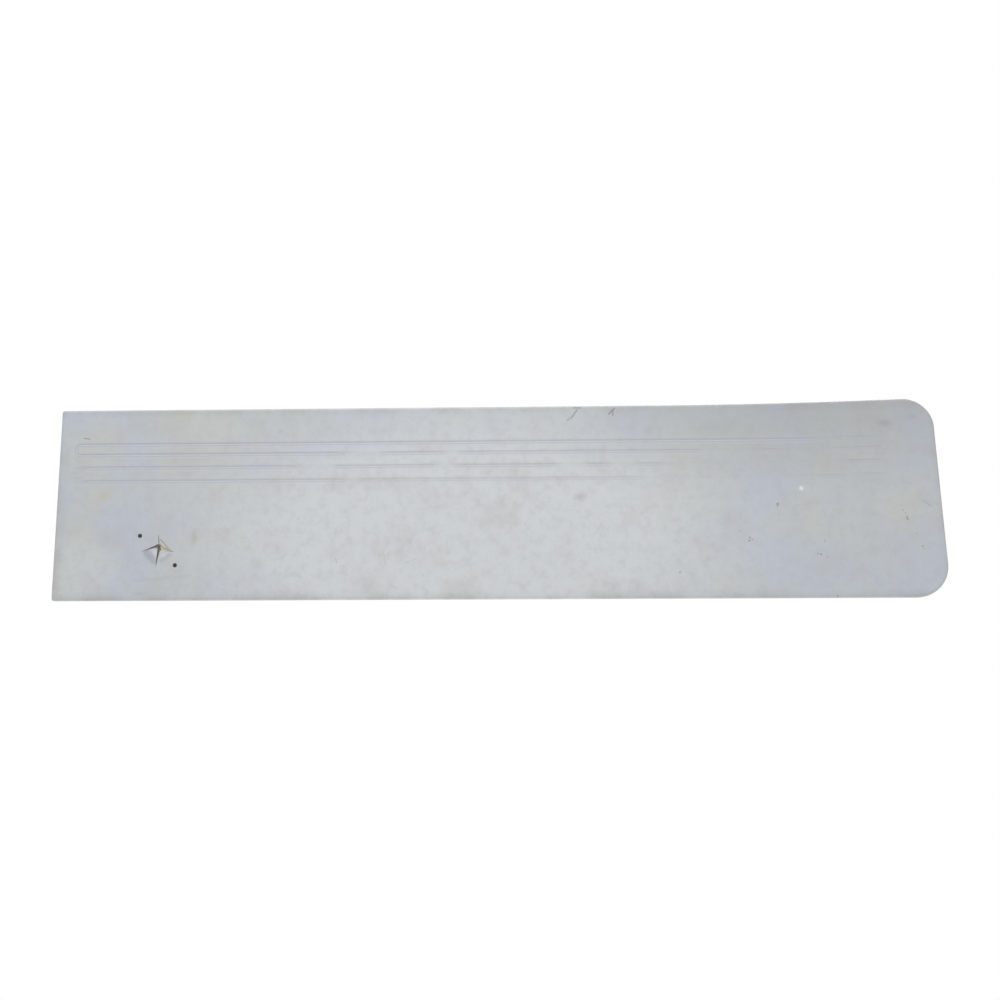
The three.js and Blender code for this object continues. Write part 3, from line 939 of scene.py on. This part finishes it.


# %% [markdown]
# ## Vinyl
# The grain of leather-look vinyl is a net of fine grooves round small raised cells. Age has mottled
# it: bluish and brownish clouds, stains and nicks. Painted light and shade lie over these: a lighter
# middle and lower left, a darker upper right, a darker and browner rim, painted shade in the lines
# with a painted highlight along their middles, lighter tips on the lower flaps and shade where the
# flaps bend. The vinyl's cut edges and inside show the pale cloth backing, which an attribute on the
# faces marks.

# %% Attributes that tell cloth from vinyl and mark the lines' walls and middles, where painted shade and a painted highlight go
covers = [cover, *flaps.values()]
for piece in covers:
    mesh = piece.data
    cloth = mesh.attributes.new("cloth", "FLOAT", "FACE")
    cloth.data.foreach_set("value", [float(face.material_index == 1) for face in mesh.polygons])
    for face in mesh.polygons:
        face.material_index = 0
    mesh.materials.clear()
    places = np.empty(len(mesh.vertices) * 3)
    mesh.vertices.foreach_get("co", places)
    x, y, z = places.reshape(-1, 3).T
    flat_z = z - (lean(x, z)[1] - z)
    wall, band = np.zeros_like(x), np.zeros_like(x)
    for distance, strength in line_distances(x, flat_z):
        wall += strength * np.interp(distance / mm, [0, 0.5, 1.3, 1.9, 2.6], [0.15, 0.3, 1, 0.35, 0])
        band += strength * np.interp(distance / mm, [0, 0.5, 2.6, 4.4], [1, 0.5, 0.4, 0])
    if piece is flaps["upper_right"]:
        worn = np.array([face.center.y > front + 0.3 * mm for face in mesh.polygons], float)
        marked = np.zeros(len(mesh.polygons))
        cloth.data.foreach_get("value", marked)
        cloth.data.foreach_set("value", np.maximum(marked, worn))
    for name, values in (("wall", wall), ("band", band)):
        mesh.attributes.new(name, "FLOAT", "POINT").data.foreach_set("value", values.astype(np.float32))

# %% The vinyl's material
paint = Paint("vinyl_grey", roughness=0.5, Specular_IOR_Level=0.35)
grain_cells = paint.node(
    "ShaderNodeTexVoronoi", {"feature": "DISTANCE_TO_EDGE"},
    {"Vector": paint.place, "Scale": 620.0, "Randomness": 1.0},
)
grain = grain_cells.ramp(0.0, 0.25) * 0.7 + paint.noise(1500.0, 2.0) * 0.5
clouds = paint.noise(9.0, 4.0, 0.62)
patches = paint.noise(30.0, 4.0, 0.65, seed=3.1)
mottle = paint.noise(90.0, 4.0, 0.7, seed=7.7)
x, y, z = paint.axes()
blue = (0.510, 0.545, 0.605)
green = (0.530, 0.555, 0.545)
brown = (0.480, 0.460, 0.445)
colour = paint.mix(clouds.ramp(0.40, 0.62), blue, green)
# Painted light: the face is painted lighter round its middle.
painted_light_middle = paint.blob(-30, -40, 400, 200)
colour = paint.mix(painted_light_middle.ramp(0.0, 0.7) * 0.85, colour, (0.65, 0.67, 0.685))
# Painted light: the face is painted lighter towards its lower left corner.
painted_light_corner = paint.blob(-416, -66, 62, 48)
colour = paint.mix(painted_light_corner.ramp(0.0, 0.8) * 0.36, colour, (0.65, 0.67, 0.69))
colour = paint.mix(patches.ramp(0.48, 0.70) * 0.3, colour, brown)
colour = paint.mix(mottle.ramp(0.42, 0.72) * 0.32, colour, (0.44, 0.45, 0.46))
shade = paint.blob(330, 105, 330, 120)
colour = paint.mix(shade * 0.5, colour, (0.35, 0.365, 0.38))
# Painted shade: the face is painted darker and browner towards its rim, unevenly in patches.
edge_x = (x.sum("ABSOLUTE", x) - (right - 13 * mm)) / (13 * mm)
edge_z = (z.sum("ABSOLUTE", z) - (top - 9 * mm)) / (9 * mm)
near_rim = edge_x.max(edge_z).max(0.0).min(1.0)
rim_shade = near_rim * (0.08 + patches.ramp(0.35, 0.65) * 0.32)
colour = paint.mix(rim_shade, colour, (0.36, 0.35, 0.33))
wall, band = paint.attribute("wall"), paint.attribute("band")
broken = 0.55 + paint.noise(160.0, 2.0, seed=1.9) * 0.9
# Painted shade: each line is painted darker and bluer across its width, and darkest in its walls.
colour = paint.mix((band * 2.2).min(1.0) * 0.35, colour, (0.52, 0.535, 0.60))
colour = paint.mix((wall * broken * 0.26).min(0.5), colour, (0.25, 0.26, 0.295))
# Painted highlight: a lighter stripe along the ridge in the middle of each line.
colour = paint.mix((band * broken).ramp(0.6, 1.0) * 0.5, colour, (0.74, 0.755, 0.77))
stains_and_painted_light = [
    # x, z, radii in millimetres; strength; colour
    (-398, 7.8, 9, 8.5, 0.8, (0.53, 0.51, 0.42)),
    (-303, -34.6, 5, 13, 0.5, (0.42, 0.39, 0.36)),
    (-355, -91, 12, 4, 0.4, (0.40, 0.41, 0.41)),
    (-239, 82, 10, 13, 0.22, (0.42, 0.43, 0.41)),
    (-219, 74, 4, 5, 0.35, (0.43, 0.41, 0.36)),
    (-424, 27, 9, 3, 0.3, (0.40, 0.40, 0.41)),
    (389, 77, 13, 6, 0.6, (0.36, 0.36, 0.38)),
    (417, 83, 7, 4, 0.4, (0.37, 0.38, 0.39)),
    (434, 48, 5, 11, 0.4, (0.42, 0.40, 0.37)),
    (222, 75, 40, 14, 0.28, (0.42, 0.43, 0.40)),
    (85, 4, 10, 6, 0.4, (0.38, 0.385, 0.40)),
    (155, 72, 7, 8, 0.35, (0.42, 0.41, 0.39)),
    (303.7, 11.2, 3.4, 3.6, 1.0, (0.84, 0.84, 0.82)),
    (308, 11.0, 7, 6, 0.4, (0.62, 0.61, 0.57)),
    # The last two rows are painted light, not stains: they make the tips of the two lower flaps
    # lighter.
    (-342, -50, 5, 6, 0.45, (0.68, 0.67, 0.64)),
    (-332.5, -52.5, 5, 4, 0.4, (0.68, 0.67, 0.63)),
]
for sx, sz, rx, rz, strength, tint in stains_and_painted_light:
    colour = paint.mix(paint.blob(sx, sz, rx, rz) * strength, colour, tint)
bends = [
    # from x, z to x, z and half width, in millimetres; strength; colour: shade where the flaps bend
    (-350, -50, -343, -57.5, 5.5, 0.55, (0.31, 0.35, 0.39)),
    (-335.5, -58, -327, -52, 3.2, 0.4, (0.36, 0.37, 0.38)),
    (-337, -37, -327.5, -47, 1.8, 0.5, (0.24, 0.24, 0.21)),
    (-352, -47.5, -340, -43, 1.4, 0.35, (0.36, 0.36, 0.37)),
    (-362, -78, -306, -73, 2.6, 0.2, (0.40, 0.435, 0.50)),
]
for ax, az, bx, bz, radius, strength, tint in bends:
    colour = paint.mix(paint.scratch(ax, az, bx, bz, radius) * strength, colour, tint)
scratches = [
    # from x, z to x, z and half width, in millimetres; how dark
    (-420.5, 68.2, -414.5, 67.4, 0.9, 0.6),
    (422.3, -2.1, 429.8, -7.2, 1.5, 0.2),
    (-160, -56, -158.5, -61, 0.9, 0.25),
    (-90, -61, -78, -57, 1.2, 0.12),
    (-112, -52, -110, -62, 1.2, 0.12),
    (79, 95.2, 86, 95.2, 0.9, 0.7),
    (82.3, 93, 76.9, 85.5, 1.1, 0.6),
    (76.9, 85.5, 72.4, 82.3, 1.2, 0.4),
    (120, 94.4, 114.2, 88.5, 1.0, 0.8),
    (118.3, 92, 118.4, 87, 0.9, 0.7),
]
dots = [
    # x, z and radius in millimetres; how dark
    (279.7, -4.6, 2.0, 1.0),
    (279.2, -6.6, 1.3, 0.7),
    (242.3, -31.2, 1.3, 0.5),
    (251.2, -37.9, 1.4, 0.9),
    (250.4, -40.8, 1.5, 1.0),
    (253.4, -39.7, 1.2, 0.8),
    (324.3, -41.5, 1.3, 0.6),
    (317.3, -54.2, 1.2, 0.7),
    (320.1, -54.9, 1.5, 0.9),
    (326.2, -57.4, 1.2, 0.6),
    (401.0, -5.8, 1.2, 0.4),
    (402.2, -11.6, 1.1, 0.7),
    (404.4, -14.3, 1.1, 0.6),
    (405.6, -18.4, 1.3, 0.9),
    (406.3, -20.3, 1.5, 1.0),
    (419.5, -47.4, 1.5, 0.8),
    (420.3, -50.2, 1.1, 0.5),
    (414.2, -34.8, 1.2, 0.4),
    (181.5, -72.0, 1.5, 0.8),
    (334.5, -96.0, 1.6, 0.7),
]
nicks = None
for ax, az, bx, bz, radius, dark in scratches:
    mark = paint.scratch(ax, az, bx, bz, radius) * dark
    nicks = mark if nicks is None else nicks.max(mark)
for dx, dz, radius, dark in dots:
    nicks = nicks.max(paint.blob(dx, dz, radius) * dark)
nicks = nicks * (1 - y.ramp(front + 2.5 * mm, front + 4 * mm))
colour = paint.mix(nicks * 0.75, colour, (0.12, 0.12, 0.125))
cloth = paint.attribute("cloth")
weave = paint.bands("X", 300.0) * 0.5 + paint.bands("Z", 300.0) * 0.5
cloth_colour = paint.mix(weave, (0.54, 0.51, 0.45), (0.72, 0.69, 0.63))
colour = paint.mix(cloth, colour, cloth_colour)
height = (grain * (1 - wall * 0.5) - nicks * 1.5) * (1 - cloth) + weave * cloth
roughness = 0.46 + patches * 0.12 + wall * 0.1 + cloth * 0.3
paint.set(Base_Color=colour, Roughness=roughness, Normal=paint.bump(height, 0.35, 0.12 * mm))
vinyl_paint = paint.material

# %% [markdown]
# ## Foam and hardboard
# Old foam has yellowed and shows open cells. Hardboard is pressed wood fibre: dark brown, with a
# fine net on its back from the screen it was pressed on, and paler fibres throughout.

# %% The foam's and the board's materials
paint = Paint("foam_yellowed", roughness=0.95, Specular_IOR_Level=0.1)
cells = paint.node("ShaderNodeTexVoronoi", inputs={"Vector": paint.place, "Scale": 1300.0})
age = paint.noise(60.0, 3.0)
colour = paint.mix(age.ramp(0.3, 0.7), (0.60, 0.56, 0.46), (0.70, 0.67, 0.57))
colour = paint.mix(cells.ramp(0.25, 0.7) * 0.5, colour, (0.38, 0.34, 0.26))
# Painted shade: a dark spot behind each screw hole stands for the shade inside the hole.
for place in screws:
    colour = paint.mix(paint.blob(place.x / mm, place.z / mm, 6), colour, (0.045, 0.05, 0.065))
# Painted shade: the foam is painted dark along the slit's lower and left cuts, where the gap between
# the flaps lies in shade.
lower_cut_shade = paint.scratch(-338.4, -46, -339.6, -62, 2.6)
left_cut_shade = paint.scratch(-339, -42.6, -350, -46.5, 2.2)
colour = paint.mix(lower_cut_shade.max(left_cut_shade).ramp(0.0, 0.5) * 0.85, colour, (0.115, 0.105, 0.10))
paint.set(Base_Color=colour, Normal=paint.bump(cells, 0.6, 0.3 * mm))
foam_paint = paint.material

paint = Paint("hardboard_brown", roughness=0.8, Specular_IOR_Level=0.25)
fibres = paint.noise(900.0, 4.0, 0.7, stretch=(0.25, 1, 1))
fibres_up = paint.noise(900.0, 4.0, 0.7, stretch=(1, 1, 0.25), seed=5.0)
clouds = paint.noise(14.0, 3.0, 0.6, seed=2.0)
screen = paint.bands("X", 170.0, 0.4) * paint.bands("Z", 170.0, 0.4)
colour = paint.mix(clouds.ramp(0.35, 0.68), (0.105, 0.052, 0.024), (0.175, 0.092, 0.046))
colour = paint.mix((fibres * fibres_up).ramp(0.16, 0.42) * 0.5, colour, (0.30, 0.19, 0.11))
water = paint.noise(7.0, 2.0, 0.5, seed=9.3)
colour = paint.mix(water.ramp(0.56, 0.66) * 0.4, colour, (0.065, 0.036, 0.02))
height = fibres * 0.5 + fibres_up * 0.5 + screen * 0.8
roughness = 0.72 + fibres * 0.2
paint.set(Base_Color=colour, Roughness=roughness, Normal=paint.bump(height, 0.5, 0.15 * mm))
board_paint = paint.material

# %% [markdown]
# ## Nylon, rubber foam and steel
# The clips are unpainted nylon, a warm white with a satin skin and dirt on it. The seals are
# closed-cell rubber foam, with fine pores. The staples are galvanised wire, dulled and lightly rusted.

# %% The small parts' materials
paint = Paint("nylon_natural", roughness=0.42, Subsurface_Weight=0.15, Subsurface_Scale=0.001)
haze = paint.noise(300.0, 3.0)
grime = paint.noise(90.0, 4.0, 0.65, seed=4.0)
colour = paint.mix(haze.ramp(0.3, 0.7), (0.70, 0.66, 0.56), (0.78, 0.75, 0.67))
colour = paint.mix(grime.ramp(0.55, 0.8) * 0.45, colour, (0.42, 0.36, 0.27))
roughness = 0.36 + grime * 0.25
paint.set(Base_Color=colour, Roughness=roughness, Normal=paint.bump(haze, 0.15, 0.05 * mm))
nylon_paint = paint.material

paint = Paint("seal_foam_rubber", roughness=0.85, Specular_IOR_Level=0.2)
pores = paint.node("ShaderNodeTexVoronoi", inputs={"Vector": paint.place, "Scale": 1600.0})
dust = paint.noise(140.0, 3.0, seed=6.0)
colour = paint.mix(pores.ramp(0.2, 0.6), (0.018, 0.018, 0.019), (0.045, 0.045, 0.047))
colour = paint.mix(dust.ramp(0.55, 0.8) * 0.4, colour, (0.13, 0.12, 0.105))
paint.set(Base_Color=colour, Normal=paint.bump(pores, 0.5, 0.15 * mm))
seal_paint = paint.material

paint = Paint("staple_galvanised", roughness=0.38, Metallic=1.0)
brushed = paint.noise(1500.0, 2.0, stretch=(0.1, 1, 1))
rust = paint.noise(420.0, 4.0, 0.7, seed=8.0)
rusty = rust.ramp(0.55, 0.68)
colour = paint.mix(brushed, (0.42, 0.43, 0.44), (0.56, 0.57, 0.58))
colour = paint.mix(rusty * 0.8, colour, (0.20, 0.085, 0.035))
roughness = 0.34 + rusty * 0.45 + brushed * 0.1
relief_normal = paint.bump(brushed, 0.2, 0.05 * mm)
paint.set(Base_Color=colour, Roughness=roughness, Metallic=1 - rusty * 0.8, Normal=relief_normal)
steel_paint = paint.material


def finish_with(material, *pieces):
    for piece in pieces:
        piece.data.materials.clear()
        piece.data.materials.append(material)


finish_with(vinyl_paint, *covers)
finish_with(foam_paint, pad, *foam_flaps.values())
finish_with(board_paint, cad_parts["backing_board"])
finish_with(nylon_paint, *clips.values())
finish_with(seal_paint, *seals.values())
finish_with(steel_paint, *staples.values())
print("materials done")

# %% [markdown]
# ## Riding on the frame
# Each piece but the flaps hangs from an empty named after the CAD body it moves with, and the CAD node
# it stands for is hidden. The flaps and their foam have their places baked into their meshes, and their
# CAD nodes are hidden.

# %% Bodies and hidden CAD nodes
for piece, node, slot_name in ((cover, "vinyl_cover", "vinyl"), (pad, "foam_pad", "pad_foam")):
    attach(piece, "panel")
    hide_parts(node)
for number in staple_numbers:
    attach(staples[number], "panel")
    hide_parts(f"staple_{number}")
for number in clip_numbers:
    for piece, node, slot_name in (
        (clips[number], f"panel_clip_{number}", "clip_nylon"),
        (seals[number], f"clip_seal_{number}", "seal_rubber"),
    ):
        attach(piece, f"clip_{number}")
        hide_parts(node)
bend_over = 2 * mm
for name, (start, end, *_) in flap_shapes.items():
    chord_middle = (rims[start] + rims[end]) / 2
    inside = chord_middle + inward_of(rims[start], rims[end]) * bend_over
    for piece, slot_name in ((flaps[name], "vinyl"), (foam_flaps[name], "pad_foam")):
        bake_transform(piece)
    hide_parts(f"slit_flap_{name}")
print("pieces ride on their bodies")

# %% [markdown]
# ## Floor, light and camera
# The panel hangs in a bright white studio: a pale floor well below it, a white world all round, which
# lights the panel less than it shows, and two soft lamps. The one above the face is just strong enough
# for the grain and the lines to show, and the one behind brings out the clips.

# %% Floor and world
bpy.ops.object.select_all(action="DESELECT")
bpy.ops.mesh.primitive_plane_add(size=2.04, location=(0, 0, -0.75))
floor = named("floor")
paint = Paint("floor_white", roughness=0.9, Specular_IOR_Level=0.0)
paint.set(Base_Color=(0.9, 0.9, 0.9, 1), Emission_Color=(1, 1, 1, 1), Emission_Strength=0.2)
finish_with(paint.material, floor)
scene = bpy.context.scene
world = bpy.data.worlds.new("studio")
world.use_nodes = True
world_tree = world.node_tree
background = next(n for n in world_tree.nodes if n.type == "BACKGROUND")
background.inputs["Color"].default_value = (1, 1, 1, 1)
ray = world_tree.nodes.new("ShaderNodeLightPath")
strength = world_tree.nodes.new("ShaderNodeMapRange")
strength.inputs["To Min"].default_value = 0.70
world_tree.links.new(ray.outputs["Is Camera Ray"], strength.inputs["Value"])
world_tree.links.new(strength.outputs["Result"], background.inputs["Strength"])
scene.world = world
scene.view_settings.view_transform = "Standard"
print("world and floor")


# %% Lamps
def lamp(name, place, target, size, power):
    bpy.ops.object.select_all(action="DESELECT")
    bpy.ops.object.light_add(type="AREA", location=place)
    light = bpy.context.object
    light.name = name
    light.data.shape = "RECTANGLE"
    light.data.size, light.data.size_y = size
    light.data.energy = power
    light.rotation_euler = (Vector(target) - Vector(place)).to_track_quat("-Z", "Y").to_euler()


lamp("key_above", (-0.15, -0.55, 1.3), (0, 0, 0), (0.9, 0.35), 11)
lamp("fill_behind", (0.6, 1.0, 0.9), (0, 0, 0), (1.0, 0.8), 10)
print("lamps done")

# %% Camera
bpy.ops.object.camera_add(location=(0.04094, -1.1460, -0.18376))
camera = bpy.context.object
aim = Vector((0.00425, -0.0116, 0.0014)) - camera.location
roll = Matrix.Rotation(radians(0.0975), 4, aim.normalized())
camera.rotation_euler = (roll @ aim.to_track_quat("-Z", "Y").to_matrix().to_4x4()).to_euler()
camera.data.lens = 41.4
camera.data.sensor_width = 36
camera.data.clip_start, camera.data.clip_end = 0.05, 50
scene.camera = camera
print("camera up", [round(c, 4) for c in camera.rotation_euler])
